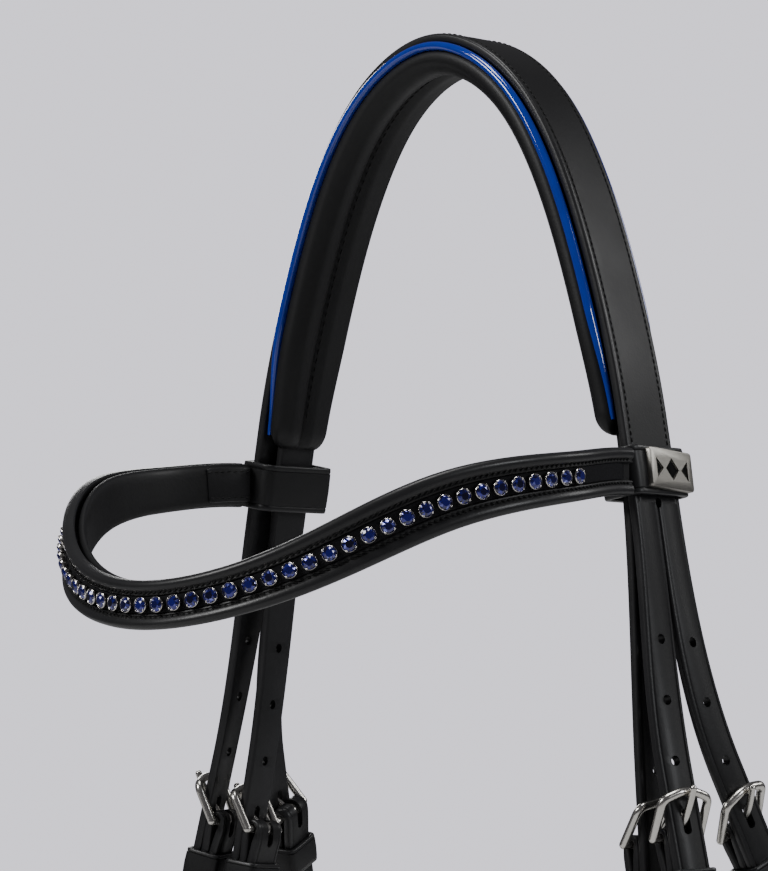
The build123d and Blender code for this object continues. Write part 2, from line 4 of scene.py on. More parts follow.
import bmesh
import bpy
import numpy as np
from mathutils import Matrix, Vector


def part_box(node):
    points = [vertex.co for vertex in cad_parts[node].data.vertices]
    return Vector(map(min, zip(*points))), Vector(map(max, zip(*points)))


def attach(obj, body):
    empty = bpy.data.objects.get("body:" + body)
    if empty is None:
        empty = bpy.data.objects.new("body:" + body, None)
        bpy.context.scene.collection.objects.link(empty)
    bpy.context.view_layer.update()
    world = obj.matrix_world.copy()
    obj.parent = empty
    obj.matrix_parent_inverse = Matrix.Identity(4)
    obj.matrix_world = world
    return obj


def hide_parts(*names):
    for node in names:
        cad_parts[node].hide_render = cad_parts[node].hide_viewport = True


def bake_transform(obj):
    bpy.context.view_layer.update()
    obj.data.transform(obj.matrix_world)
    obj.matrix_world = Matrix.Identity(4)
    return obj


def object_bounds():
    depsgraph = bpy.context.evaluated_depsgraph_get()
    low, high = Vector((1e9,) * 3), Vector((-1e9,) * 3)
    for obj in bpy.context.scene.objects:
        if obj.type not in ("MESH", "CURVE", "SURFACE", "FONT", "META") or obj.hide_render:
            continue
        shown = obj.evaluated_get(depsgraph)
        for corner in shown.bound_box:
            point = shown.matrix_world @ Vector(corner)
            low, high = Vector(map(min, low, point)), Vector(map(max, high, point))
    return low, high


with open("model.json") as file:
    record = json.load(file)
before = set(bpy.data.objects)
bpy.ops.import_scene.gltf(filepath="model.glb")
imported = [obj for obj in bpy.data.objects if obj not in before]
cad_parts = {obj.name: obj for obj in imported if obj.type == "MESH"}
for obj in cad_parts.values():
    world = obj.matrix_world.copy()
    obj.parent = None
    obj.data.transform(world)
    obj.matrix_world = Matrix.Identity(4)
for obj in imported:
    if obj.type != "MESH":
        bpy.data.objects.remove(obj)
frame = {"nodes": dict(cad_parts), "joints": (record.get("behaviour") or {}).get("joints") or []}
cad_bounds = [list(corner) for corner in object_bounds()]
mm = 0.001


# ---------------------------------------------------------------- studio
# A pale, even backdrop with large soft lights: a broad one over the left front, a cooler one on the
# right, and strips behind that draw thin bright lines along the dark leather's edges.
camera = bpy.data.objects.new("camera", bpy.data.cameras.new("camera"))
bpy.context.scene.collection.objects.link(camera)
camera.data.lens = 165.66
camera.data.sensor_width = 36
camera.data.clip_end = 20
camera.location = (833.7 * mm, -994.5 * mm, -183.0 * mm)
camera.rotation_euler = (math.radians(90 + 2.907), 0, math.radians(41.03))
bpy.context.scene.camera = camera

world = bpy.data.worlds.new("backdrop")
bpy.context.scene.world = world
world.use_nodes = True
behind = world.node_tree.nodes["Background"]
behind.inputs["Color"].default_value = (0.592, 0.578, 0.64, 1)
behind.inputs["Strength"].default_value = 1.95
around = world.node_tree.nodes.new("ShaderNodeBackground")
around.inputs["Color"].default_value = (0.592, 0.584, 0.628, 1)
around.inputs["Strength"].default_value = 0.15
either = world.node_tree.nodes.new("ShaderNodeMixShader")
seen = world.node_tree.nodes.new("ShaderNodeLightPath")
world.node_tree.links.new(seen.outputs["Is Camera Ray"], either.inputs[0])
world.node_tree.links.new(around.outputs[0], either.inputs[1])
world.node_tree.links.new(behind.outputs[0], either.inputs[2])
world.node_tree.links.new(either.outputs[0], world.node_tree.nodes["World Output"].inputs["Surface"])
middle = (Vector(cad_bounds[0]) + Vector(cad_bounds[1])) / 2


def soft_light(name, place, size, power, colour=(1, 1, 1)):
    light = bpy.data.objects.new(name, bpy.data.lights.new(name, "AREA"))
    bpy.context.scene.collection.objects.link(light)
    light.location = place
    light.rotation_euler = (middle - Vector(place)).to_track_quat("-Z", "Y").to_euler()
    light.data.size = size
    light.data.energy = power
    light.data.color = colour


soft_light("key", (-0.5, -1.5, 0.9), 0.6, 20)
soft_light("side", (1.6, 0.3, 0.5), 0.4, 6, (0.95, 0.97, 1))
soft_light("rim_left", (-1.2, 0.9, 0.3), 0.5, 4)
soft_light("rim_right", (0.9, 1.2, 0.6), 0.5, 5)
soft_light("top", (0.1, -0.1, 1.4), 0.5, 10)

floor_mesh = bpy.data.meshes.new("floor")
floor = bpy.data.objects.new("floor", floor_mesh)
bpy.context.scene.collection.objects.link(floor)
floor_shape = bmesh.new()
bmesh.ops.create_circle(floor_shape, cap_ends=True, segments=64, radius=1.5)
floor_shape.to_mesh(floor_mesh)
floor.location.z = cad_bounds[0][2] - 60 * mm


# ---------------------------------------------------------------- leathers
# Bridle leather is dyed black through and waxed to a satin face with a fine pebbled grain. Its cut
# edges are burnished a little glossier, and their lighter colour is a painted highlight. The softer
# padding leather has a larger grain.
class Value:
    """A shader socket that can be used in Python arithmetic."""

    def __init__(self, tree, socket):
        self.tree = tree
        self.socket = socket

    def feed(self, slot):
        self.tree.links.new(self.socket, slot)

    def maths(self, operation, first, second):
        node = self.tree.nodes.new("ShaderNodeMath")
        node.operation = operation
        for slot, value in zip(node.inputs, (first, second)):
            if isinstance(value, Value):
                value.feed(slot)
            else:
                slot.default_value = value
        return Value(self.tree, node.outputs[0])

    def __add__(self, other):
        return self.maths("ADD", self, other)

    def __radd__(self, other):
        return self.maths("ADD", other, self)

    def __sub__(self, other):
        return self.maths("SUBTRACT", self, other)

    def __rsub__(self, other):
        return self.maths("SUBTRACT", other, self)

    def __mul__(self, other):
        return self.maths("MULTIPLY", self, other)

    def __rmul__(self, other):
        return self.maths("MULTIPLY", other, self)

    def __pow__(self, other):
        return self.maths("POWER", self, other)


class Finish:
    """A material under construction."""

    def __init__(self, name, **constants):
        self.material = bpy.data.materials.new(name)
        self.material.use_nodes = True
        self.tree = self.material.node_tree
        self.shader = self.tree.nodes["Principled BSDF"]
        for slot, value in constants.items():
            self.shader.inputs[slot.replace("_", " ")].default_value = value

    def node(self, kind, settings=None, output=0, **values):
        """Any node: its settings are set first, then the values or links of its sockets."""
        made = self.tree.nodes.new("ShaderNode" + kind)
        for key, value in (settings or {}).items():
            if key == "stops":
                for element, (place, colour) in zip(made.color_ramp.elements, value):
                    element.position = place
                    element.color = colour
            else:
                setattr(made, key, value)
        for key, value in values.items():
            slot = made.inputs[int(key[1:]) if key[0] == "i" and key[1:].isdigit() else key.replace("_", " ")]
            if isinstance(value, Value):
                value.feed(slot)
            else:
                slot.default_value = value
        return Value(self.tree, made.outputs[output])

    def place(self):
        return self.node("TexCoord", output="Object")

    def attribute(self, name):
        return self.node("Attribute", {"attribute_name": name}, output="Fac")

    def noise(self, scale, detail=3.0, place=None):
        return self.node("TexNoise", Vector=place or self.place(), Scale=scale, Detail=detail)

    def pebble(self, scale):
        return self.node("TexVoronoi", {"feature": "SMOOTH_F1"}, Vector=self.place(), Scale=scale)

    def mix(self, share, first, second):
        return self.node("Mix", {"data_type": "RGBA"}, output=2, i0=share, i6=first, i7=second)

    def colour(self, value):
        value.feed(self.shader.inputs["Base Color"])

    def rough(self, value):
        value.feed(self.shader.inputs["Roughness"])

    def bump(self, height, distance, strength=1.0):
        made = self.node("Bump", Height=height, Distance=distance, Strength=strength)
        made.feed(self.shader.inputs["Normal"])


def leather(name, face, edge, roughness, grain, depth):
    """face and edge are colours, edge a painted highlight; grain is the pebble's size and depth its height,
    in metres.
    """
    made = Finish(name, Specular_IOR_Level=0.34, Coat_Weight=0.06, Coat_Roughness=0.2)
    cut = made.attribute("edge")
    cloud = made.noise(60, 4.0)
    # Painted highlight: the colour turns to the lighter edge colour along the rounded edges, broken up by the
    # cloud.
    made.colour(made.mix(cut * (0.5 + 0.5 * cloud), (*face, 1), (*edge, 1)))
    fine = made.noise(0.35 / grain, 2.0)
    made.rough(roughness + 0.16 * cloud - 0.12 * cut + 0.06 * fine)
    made.bump(made.pebble(1 / grain) * 0.7 + fine * 0.5, depth)
    return made.material


# Each edge colour below is lighter than its face colour: a painted highlight along the rounded edges.
strap_leather = leather(
    "strap_leather",
    face=(0.0065, 0.0065, 0.007),
    edge=(0.022, 0.022, 0.023),
    roughness=0.36,
    grain=0.6 * mm,
    depth=0.035 * mm,
)
pad_leather = leather(
    "pad_leather",
    face=(0.005, 0.005, 0.0055),
    edge=(0.014, 0.014, 0.015),
    roughness=0.4,
    grain=0.9 * mm,
    depth=0.05 * mm,
)


# ---------------------------------------------------------------- headpiece strap
# One leather strap, 25.4 mm wide, bent over the poll and turned a little to the back where the
# browband crosses it. Two stitch rows lie in grooves along its edges, and it is split at its ends.
class Route:
    """A smooth middle line through points in millimetres, leaving both ends in given directions."""

    def __init__(self, points, start, end):
        p = np.array(points, float)
        step = np.linalg.norm(np.diff(p, axis=0), axis=1)
        knots = np.concatenate([[0], np.cumsum(step)])
        count = len(p)
        rows, right = np.eye(count), np.zeros((count, 3))
        right[0] = np.array(start) / np.linalg.norm(start)
        right[-1] = np.array(end) / np.linalg.norm(end)
        for i in range(1, count - 1):
            a, b = step[i - 1], step[i]
            rows[i, i - 1 : i + 2] = (b, 2 * (a + b), a)
            right[i] = 3 * (b / a * (p[i] - p[i - 1]) + a / b * (p[i + 1] - p[i]))
        slopes = np.linalg.solve(rows, right)
        fine = np.linspace(0, knots[-1], 400)
        span = np.clip(np.searchsorted(knots, fine, "right") - 1, 0, count - 2)
        h = step[span][:, None]
        u = (fine - knots[span])[:, None] / h
        self.points = (
            (2 * u**3 - 3 * u**2 + 1) * p[span]
            + (u**3 - 2 * u**2 + u) * h * slopes[span]
            + (3 * u**2 - 2 * u**3) * p[span + 1]
            + (u**3 - u**2) * h * slopes[span + 1]
        )


class Strip:
    """Cross-section frames along a strap: middle point, direction across and outer side."""

    def __init__(self, points, outward):
        self.o = np.array(points, float)
        along = np.gradient(self.o, axis=0)
        along /= np.linalg.norm(along, axis=1)[:, None]
        outward = np.array(outward, float) * np.ones((len(self.o), 1))
        outward = outward - (outward * along).sum(1)[:, None] * along
        self.y = outward / np.linalg.norm(outward, axis=1)[:, None]
        self.x = np.cross(self.y, along)
        self.s = np.concatenate([[0], np.cumsum(np.linalg.norm(np.diff(self.o, axis=0), axis=1))])
        self.length = self.s[-1]

    def at(self, s):
        """The strip's frames at other places along it."""
        made = Strip.__new__(Strip)
        for key in "oxy":
            rows = getattr(self, key)
            setattr(made, key, np.stack([np.interp(s, self.s, rows[:, i]) for i in range(3)], 1))
        made.s = np.array(s, float)
        made.length = made.s[-1] - made.s[0]
        return made

    def shifted(self, across, out):
        made = Strip.__new__(Strip)
        made.o = self.o + self.x * np.reshape(across, (-1, 1)) + self.y * np.reshape(out, (-1, 1))
        made.x, made.y, made.s, made.length = self.x, self.y, self.s, self.length
        return made


def mirror_strip(half):
    """A strip over the whole bridle, from its left half that starts at the middle."""
    flip = np.array([-1, 1, 1])
    made = Strip.__new__(Strip)
    made.o = np.concatenate([(half.o * flip)[:0:-1], half.o])
    made.x = np.concatenate([(half.x * flip)[:0:-1], half.x])
    made.y = np.concatenate([(half.y * flip)[:0:-1], half.y])
    made.s = np.concatenate([-half.s[:0:-1], half.s])
    made.length = 2 * half.length
    return made


def strap_section(width, thick, grooves=(), corner=0.9, crown=0.15):
    """(across, outward, edge) points of a strap: rounded edges, a slight crown, pressed grooves. The edge
    value marks the rounded edges for the painted highlight.
    """
    w, t = width / 2, thick / 2
    points = []
    for cx, cy, start in ((w - corner, corner - t, -90), (w - corner, t - corner, 0)):
        for turn in (0, 30, 60, 90):
            angle = math.radians(start + turn)
            points.append((cx + corner * math.cos(angle), cy + corner * math.sin(angle), 1))
    pressed = ((0.45, 0), (0, 0.28), (-0.45, 0))
    inner = [(0.8 * w - corner, 0)] + [(g + d, -h) for g in grooves for d, h in pressed]
    top = sorted(inner + [(0, 0)] + [(-x, h) for x, h in inner], reverse=True)
    for x, drop in top:
        points.append((x, t + crown * (1 - (x / w) ** 2) + drop, 0))
    points += [(-x, y, e) for x, y, e in points[7::-1]]
    return np.array(points)


def sweep(strip, section, wide=1.0, deep=1.0, closed=False, inset=0.35):
    """Points, faces and edge weights of a section carried along a strip, with softened ends."""
    count, around = len(strip.o), len(section)
    wide, deep = np.ones(count) * wide, np.ones(count) * deep
    if inset:
        half = np.abs(section[:, :2]).max(0)
        for end in (0, -1):
            wide[end] *= 1 - inset / half[0]
            deep[end] *= 1 - inset / half[1]
    across = section[None, :, 0, None] * wide[:, None, None]
    out = section[None, :, 1, None] * deep[:, None, None]
    points = strip.o[:, None] + strip.x[:, None] * across + strip.y[:, None] * out
    faces = []
    for i in range(count if closed else count - 1):
        a, b = i * around, (i + 1) % count * around
        for k in range(around):
            n = (k + 1) % around
            faces.append((a + k, a + n, b + n, b + k))
    if not closed:
        faces.append(tuple(range(around - 1, -1, -1)))
        faces.append(tuple(range((count - 1) * around, count * around)))
    return points.reshape(-1, 3), faces, np.tile(section[:, 2], count)


def stops(length, step=2.5, start=0.0):
    """Places along a strip, close together at its two ends."""
    inner = np.linspace(0.5, length - 0.5, max(3, int(length / step)))
    return start + np.concatenate([[0], inner, [length]])


def stitch_mesh(strip, across, out, pitch=2.9, long=2.1, thick=0.3, slant=0.12, start=3.0, end=3.0):
    """A row of waxed thread stitches, each a small spindle lying half in its groove."""
    places = np.arange(strip.s[0] + start, strip.s[-1] - end, pitch)
    at = strip.at(places)
    along = np.cross(at.x, at.y)
    points, faces = [], []
    ring = [(math.cos(a), math.sin(a)) for a in np.linspace(0, 2 * math.pi, 7)[:6]]
    for n in range(len(places)):
        base = at.o[n] + at.x[n] * across + at.y[n] * out
        first = len(points)
        for share, size in ((-0.5, 0.35), (-0.22, 1), (0.22, 1), (0.5, 0.35)):
            centre = base + along[n] * share * long + at.x[n] * share * slant * long
            for cx, cy in ring:
                points.append(centre + thick * size * (at.x[n] * cx + at.y[n] * cy))
        for r in range(3):
            for k in range(6):
                m = (k + 1) % 6
                a, b = first + 6 * r, first + 6 * (r + 1)
                faces.append((a + k, a + m, b + m, b + k))
        faces.append(tuple(range(first + 5, first - 1, -1)))
        faces.append(tuple(range(first + 18, first + 24)))
    return np.array(points), faces, np.zeros(len(points))


def joined(*meshes):
    points, faces, edges, first = [], [], [], 0
    for p, f, e in meshes:
        points.append(p)
        faces += [tuple(first + i for i in face) for face in f]
        edges.append(e)
        first += len(p)
    return np.concatenate(points), faces, np.concatenate(edges)


def mirrored(shape):
    points, faces, edges = shape
    return points * (-1, 1, 1), [face[::-1] for face in faces], edges


def piece(name, shape, material, body, replaces=(), angle=35):
    """A mesh piece in metres, from points in millimetres, riding on a body of the frame if one is given."""
    points, faces, edges = shape
    mesh = bpy.data.meshes.new(name)
    mesh.from_pydata((points * mm).tolist(), [], faces)
    # The edge attribute marks where the leather's colour is painted lighter as a highlight.
    mesh.attributes.new("edge", "FLOAT", "POINT").data.foreach_set("value", np.array(edges, np.float32))
    mesh.update()
    mesh.shade_smooth()
    mesh.set_sharp_from_angle(angle=math.radians(angle))
    mesh.materials.append(material)
    made = bpy.data.objects.new(name, mesh)
    bpy.context.scene.collection.objects.link(made)
    if body:
        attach(made, body)
    if replaces:
        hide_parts(*replaces)
    return made


def cut(target, shape):
    """Takes a closed shape out of a piece's mesh, whose own folded layers may touch."""
    points, faces, _ = shape
    mesh = bpy.data.meshes.new("cutter")
    mesh.from_pydata((points * mm).tolist(), [], faces)
    cutter = bpy.data.objects.new("cutter", mesh)
    bpy.context.scene.collection.objects.link(cutter)
    step = target.modifiers.new("cut", "BOOLEAN")
    step.object = cutter
    step.solver = "EXACT"
    step.use_self = True
    seen = target.evaluated_get(bpy.context.evaluated_depsgraph_get())
    result = bpy.data.meshes.new_from_object(seen)
    target.modifiers.remove(step)
    old = target.data
    target.data = result
    target.data.name = target.name
    bpy.data.objects.remove(cutter)
    bpy.data.meshes.remove(mesh)
    bpy.data.meshes.remove(old)
    target.data.set_sharp_from_angle(angle=math.radians(35))


def turn_over(made):
    """Makes a finished left piece into the right one."""
    for corner in made.data.vertices:
        corner.co.x = -corner.co.x
    made.data.flip_normals()


def rod(point, along, across, radius, length, stretch=0.0, sides=20):
    """A closed rod about a point; stretch draws its round section out along another direction."""
    along, across = np.array(along, float), np.array(across, float)
    third = np.cross(along, across)
    points = []
    for end in (-0.5, 0.5):
        for k in range(sides):
            a = 2 * math.pi * k / sides
            drawn = stretch * (1 if math.cos(a) > 0 else -1)
            aside = across * (radius * math.cos(a) + drawn)
            points.append(point + along * end * length + aside + third * radius * math.sin(a))
    faces = [(k, (k + 1) % sides, sides + (k + 1) % sides, sides + k) for k in range(sides)]
    faces += [tuple(range(sides - 1, -1, -1)), tuple(range(sides, 2 * sides))]
    return np.array(points), faces, np.zeros(2 * sides)


STRAP_T = 3.0
STRAP_W, NOSE_STRAP_W, SLIT, SPLIT_HOLE_R = 12.5, 14.0, 0.4, 1.6
top_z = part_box("headpiece_strap")[1].z / mm - STRAP_T / 2
loop_x, loop_z = 78.0, -131.5
lean = math.radians(10)
leg_down = np.array([math.sin(lean), 0, -math.cos(lean)])


def leg_point(z):
    return np.array([loop_x, 0, loop_z]) + leg_down * (z - loop_z) / leg_down[2]


def ease(share):
    share = np.clip(share, 0, 1)
    return share * share * (3 - 2 * share)


leg_top, split = leg_point(loop_z + 17), leg_point(loop_z - 9.5)
arch = Route(
    [(0, 0, top_z), (25, 0, top_z - 9.5), (48, 0, top_z - 39.5), (63.5, 0, top_z - 79.5), leg_top],
    (1, 0, 0),
    leg_down,
)
head_line = np.concatenate([arch.points, np.linspace(leg_top, split, 12)[1:]])
head_along = np.gradient(head_line, axis=0)
head_along /= np.linalg.norm(head_along, axis=1)[:, None]
head_arc = np.concatenate([[0], np.cumsum(np.linalg.norm(np.diff(head_line, axis=0), axis=1))])
turn = np.radians(4) * ease((head_arc - 5) / 70)[:, None]
flat = np.stack([-head_along[:, 2], 0 * head_arc, head_along[:, 0]], 1)
head_half = Strip(head_line, flat * np.cos(turn) + np.array([0, 1, 0]) * np.sin(turn))
leg_out, leg_rear = head_half.y[-1], head_half.x[-1]
arch_length = head_arc[len(arch.points) - 1]

# The thread is black, and it is painted darker than the leather as well: partly its own colour, partly
# painted shade of the notches it lies in.
thread = Finish("thread", Base_Color=(0.003, 0.003, 0.003, 1), Roughness=0.6, Specular_IOR_Level=0.3)
thread.bump(thread.noise(2600, 1.0), 0.05 * mm)
thread = thread.material

head_strip = mirror_strip(head_half.at(np.linspace(0, head_half.length, 110)))
head_w, head_groove = 2 * STRAP_W + SLIT, 10.0
head = piece(
    "headpiece_leather",
    sweep(head_strip, strap_section(head_w, STRAP_T, grooves=(head_groove,)), inset=0),
    strap_leather,
    "headpiece",
    ["headpiece_strap"],
)
split_holes = rod(split, leg_out, leg_rear, SPLIT_HOLE_R, 12)
cut(head, split_holes)
cut(head, mirrored(split_holes))
fine_row = {"pitch": 2.2, "long": 1.5, "thick": 0.36, "start": 16, "end": 16}
rows = [stitch_mesh(head_strip, k * head_groove, STRAP_T / 2 - 0.02, **fine_row) for k in (-1, 1)]
piece("headpiece_stitches", joined(*rows), thread, "headpiece")


# ---------------------------------------------------------------- headpiece padding and piping
# A soft leather tube filled with felt, sewn under the strap: a full roll along the front, a smaller
# one along the back, and a sewn groove between them. Blue patent piping fills both seams.
pad_thick, pad_gap = 9.0, 0.6
pad_mid = -STRAP_T / 2 - pad_gap - pad_thick / 2
pad_end, pad_round = arch_length + 4, 7.0
pad_tip = pad_end - pad_round + pad_round * np.sin(np.linspace(0.2, 1.5, 9))
pad_places = np.concatenate([np.linspace(0, pad_end - pad_round, 70), pad_tip])
pad_strip = mirror_strip(head_half.at(pad_places))


def squared_round(wide, high, sides, power):
    """A rounded rectangle's section; a smaller power gives fuller corners."""
    points = []
    for k in range(sides):
        a = 2 * math.pi * k / sides
        x = wide * math.copysign(abs(math.cos(a)) ** power, math.cos(a))
        points.append((x, high * math.copysign(abs(math.sin(a)) ** 0.8, math.sin(a)), 0))
    return np.array(points)


def pad_section():
    """The padding's section: a ridge on its underside is the sewn groove between the two rolls."""
    points = []
    for x, y, _ in squared_round(13.3, pad_thick / 2, 56, 0.62):
        if y < 0:
            y += 3.2 * math.exp(-(((x + 0.5) / 1.6) ** 2)) + 0.9 * math.exp(-(((x - 4.5) / 5) ** 2))
            y -= 0.9 * math.exp(-(((x + 8) / 3.5) ** 2))
        points.append((x - 1.3, y, 0))
    return np.array(points)


from_end = np.clip((pad_end - np.abs(pad_strip.s)) / pad_round, 0, 1)
pad_close = np.sqrt(np.clip(1 - (1 - from_end) ** 2, 0.04, 1))
pad_wide = (0.6 + 0.4 * pad_close) * (1 - 0.14 * ease((np.abs(pad_strip.s) - pad_end + 40) / 40))
padding = piece(
    "headpiece_soft_padding",
    sweep(pad_strip.shifted(0, pad_mid), pad_section(), wide=pad_wide, deep=pad_close, inset=0),
    pad_leather,
    "headpiece",
    ["headpiece_padding"],
    angle=60,
)
pad_rows = ((-4.6, 3.0), (-1.2, 2.9))
rows = [stitch_mesh(pad_strip, x, pad_mid - y, pitch=3.2, start=12, end=12) for x, y in pad_rows]
piece("headpiece_padding_stitches", joined(*rows), thread, "headpiece")

patent = Finish("blue_patent", Roughness=0.1, Coat_Weight=1.0, Coat_Roughness=0.04)
shade = patent.noise(120, 2.0)
patent.colour(patent.mix(shade, (0.0, 0.022, 0.30, 1), (0.0, 0.035, 0.42, 1)))
patent.bump(patent.noise(900, 2.0), 0.02 * mm)
patent = patent.material


def round_section(wide, high, sides=16):
    turns = np.linspace(0, 2 * math.pi, sides + 1)[:-1]
    return np.stack([wide * np.cos(turns), high * np.sin(turns), 0 * turns], 1)


def piping(name, across, out, tuck, wide):
    """A piping cord in the seam; towards its ends it slips in under the strap."""
    strip = mirror_strip(head_half.at(np.linspace(0, arch_length, 90)))
    fade = ease((np.abs(strip.s) - arch_length + 38) / 38)
    line = strip.shifted(across + tuck * fade, out - 0.6 * fade)
    shape = sweep(line, round_section(wide, 1.45), wide=1 - 0.5 * fade, deep=1 - 0.5 * fade)
    piece(name, shape, patent, "headpiece", [name])


piping("headpiece_piping_front", -14.1, -2.8, 2.9, 1.8)
piping("headpiece_piping_rear", 14.0, -0.9, -3.0, 1.3)


# ---------------------------------------------------------------- buckles and what is strapped to them
# Each buckled strap is folded round its buckle's bar, turned back and sewn. The billet comes down over
# it, takes the tongue through one of its holes and is held flat by a fixed keeper and a loose runner.
joints = {j["name"]: j for j in frame["joints"]}
BAR_R, FOLD_T, PLAY = 1.4, 1.75, 0.05
chape_out = BAR_R + PLAY + FOLD_T
billet_mid = chape_out + 0.1 + STRAP_T / 2
hole_z = 0.75 * billet_mid
JOIN_Z, TIP_Z, TIP_LONG, CHAPE_END, TURN_END = 20.0, -62.0, 7.0, -66.0, -52.0
HOLE_PITCH, HOLE_R, HOLE_DEEP = 19.0, 1.6, 8


class Place:
    """A point with its directions across, out and up."""

    def __init__(self, o, x, y):
        self.o, self.x, self.y = np.array(o, float), np.array(x, float), np.array(y, float)
        self.z = np.cross(self.x, self.y)

    def point(self, across, out, up):
        return self.o + self.x * across + self.y * out + self.z * up


def buckle_place(kind, side="_left"):
    """A buckle at rest: its bar's middle, and the directions across, out and up."""
    bar, slide = joints[f"{kind}_frame_tilt{side}"], joints[f"{kind}_runner_slide{side}"]
    across = -np.array(bar["axis"])
    made = Place(np.array(bar["pos_m"]) / mm, across, np.cross(np.array(slide["axis"]), across))
    made.kind = kind
    return made


def billet_strip(buckle, start, start_out, start_along):
    """A billet's frames, from where it starts on the headpiece to its point."""
    join = buckle.point(0, billet_mid, JOIN_Z)
    bend = Route([start, join], start_along, -buckle.z)
    tail = np.linspace(join, buckle.point(0, billet_mid, TIP_Z), 60)[1:]
    share = ease(np.linspace(0, 1, len(bend.points)))[:, None]
    outward = np.concatenate([start_out * (1 - share) + buckle.y * share, np.tile(buckle.y, (59, 1))])
    return Strip(np.concatenate([bend.points, tail]), outward)


def billet_piece(name, buckle, strip, width, body, replaces=(), inset=0.0):
    """The billet with its punched holes and its point; the hole in use is drawn long."""
    places = stops(strip.length - TIP_LONG, 2.0)
    places = np.concatenate([places[:-1], np.linspace(strip.length - TIP_LONG, strip.length, 8)])
    at = strip.at(places)
    narrow = np.clip((strip.length - places) / TIP_LONG, 0.12, 1) ** 0.8
    section = strap_section(width, STRAP_T, grooves=(width / 2 - 1.7,))
    made = piece(
        name, sweep(at, section, wide=narrow, inset=inset), strap_leather, body, replaces
    )
    cutters = [rod(buckle.point(0, billet_mid, hole_z), buckle.y, -buckle.z, 1.5, 8, stretch=2.4)]
    top = strip.length + TIP_Z
    for i in (-3, -2, -1, 1, 2):
        if i < 0:
            spot = strip.at(np.array([top - hole_z + HOLE_PITCH * i - 0.001, top]))
            cutters.append(rod(spot.o[0], spot.y[0], spot.x[0], HOLE_R, HOLE_DEEP))
        else:
            spot = buckle.point(0, billet_mid, hole_z - HOLE_PITCH * i)
            cutters.append(rod(spot, buckle.y, buckle.x, HOLE_R, HOLE_DEEP))
    cut(made, joined(*cutters))
    return made


def chape_line(buckle):
    """The folded end's middle line, from its turned-back end, round the bar and down the outside."""
    middle = BAR_R + PLAY + FOLD_T / 2
    inner, outer = chape_out - 1.5 * STRAP_T, chape_out - STRAP_T / 2
    flat = [(inner, z) for z in np.linspace(TURN_END, -12, 16)]
    lead = [(inner - (middle + inner) * ease(u), -12 + 12 * u) for u in np.linspace(0.1, 0.95, 8)]
    fold = [(-middle * math.cos(a), middle * math.sin(a)) for a in np.linspace(0, math.pi, 17)]
    tail = [(middle - (middle - outer) * ease(u), -12 * u) for u in np.linspace(0.05, 1, 8)]
    down = [(outer, z) for z in np.linspace(-14, CHAPE_END, 22)]
    return np.array([buckle.point(0, y, z) for y, z in flat + lead + fold + tail + down])


def buckled_strip(buckle, route, route_out):
    """Frames of a strap from its turned-back end, round the bar and along its route."""
    line = chape_line(buckle)
    along = np.gradient(line, axis=0)
    outward = np.cross(along, -buckle.x)
    outward /= np.linalg.norm(outward, axis=1)[:, None]
    return Strip(np.concatenate([line, route[1:]]), np.concatenate([outward, route_out[1:]]))


def hanging(buckle, end, end_along, end_out):
    """A buckled strap's route from the end of its sewn top to another place, with its outer side."""
    line = Route([buckle.point(0, chape_out - STRAP_T / 2, CHAPE_END), end], -buckle.z, end_along).points
    share = ease(np.linspace(0, 1, len(line)))[:, None]
    return line, buckle.y * (1 - share) + np.array(end_out, float) * share


def buckled_piece(name, buckle, strip, width, body, node, both_ends=False):
    """A strap swept from its turned-back end, skived round the bar and slotted for the tongue."""
    places = np.unique(np.concatenate([stops(strip.length, 2.0), np.linspace(46, 66, 40)]))
    if both_ends:
        places = np.unique(np.concatenate([places, strip.length - places]))
    at = strip.at(places)
    deep = 1 - (1 - FOLD_T / STRAP_T) * np.exp(-(((places - 55.5) / 5.5) ** 4))
    if both_ends:
        deep = np.minimum(deep, deep[::-1])
    section = strap_section(width, STRAP_T, grooves=(width / 2 - 1.7,))
    made = piece(name, sweep(at, section, deep=deep), strap_leather, body, [node])
    slot = rod(buckle.point(0, 0, 1), buckle.y, buckle.z, 1.5, 13, stretch=5.0)
    cut(made, joined(slot, mirrored(slot)) if both_ends else slot)
    return made


def ring_shape(place, low, height, hole_w, inner, outer, thick=1.5, bend=1.4, crease=1.3):
    """A strip of leather closed round the straps in a rounded rectangle."""
    half_w, half_d = (hole_w + thick) / 2, (outer - inner + thick) / 2
    line, out = [], []
    for cx, cy, start in ((1, -1, -90), (1, 1, 0), (-1, 1, 90), (-1, -1, 180)):
        for turn in (0, 18, 36, 54, 72, 90):
            a = math.radians(start + turn)
            x, y = cx * (half_w - bend) + bend * math.cos(a), cy * (half_d - bend) + bend * math.sin(a)
            line.append(place.point(x, (inner + outer) / 2 + y, low + height / 2))
            out.append(place.x * math.cos(a) + place.y * math.sin(a))
    strip = Strip(line, out)
    strip.x, strip.y = np.tile(place.z, (len(line), 1)), np.array(out)
    section = strap_section(height, thick, grooves=(height / 2 - crease,), corner=0.45, crown=0.3)
    points, faces, edges = sweep(strip, section, closed=True, inset=0)
    return points, [face[::-1] for face in faces], edges


def keepers(buckle, width, body, sides=("_left", "_right")):
    """The fixed keeper and the loose runner of one kind of buckle."""
    inner, outer = chape_out - 2 * STRAP_T - 0.15, billet_mid + STRAP_T / 2 + 0.15
    for kind, low, high in (("keeper", -21.0, 10.0), ("runner", -44.0, 9.0)):
        ring = ring_shape(buckle, low, high, width + 0.3, inner, outer)
        for side in sides:
            node = f"{buckle.kind}_{kind}{side}"
            shape = mirrored(ring) if side == "_right" else ring
            rides = node if kind == "runner" else body.format(side)
            piece(f"{node}_leather", shape, strap_leather, rides, [node])


cheek, throat, nose = buckle_place("cheek"), buckle_place("throatlash"), buckle_place("noseband")
chin = buckle_place("chin", "")
keepers(cheek, STRAP_W, "cheekpiece{}")
keepers(throat, STRAP_W, "headpiece")
keepers(nose, NOSE_STRAP_W, "headpiece")
keepers(chin, NOSE_STRAP_W, "headpiece", sides=("",))


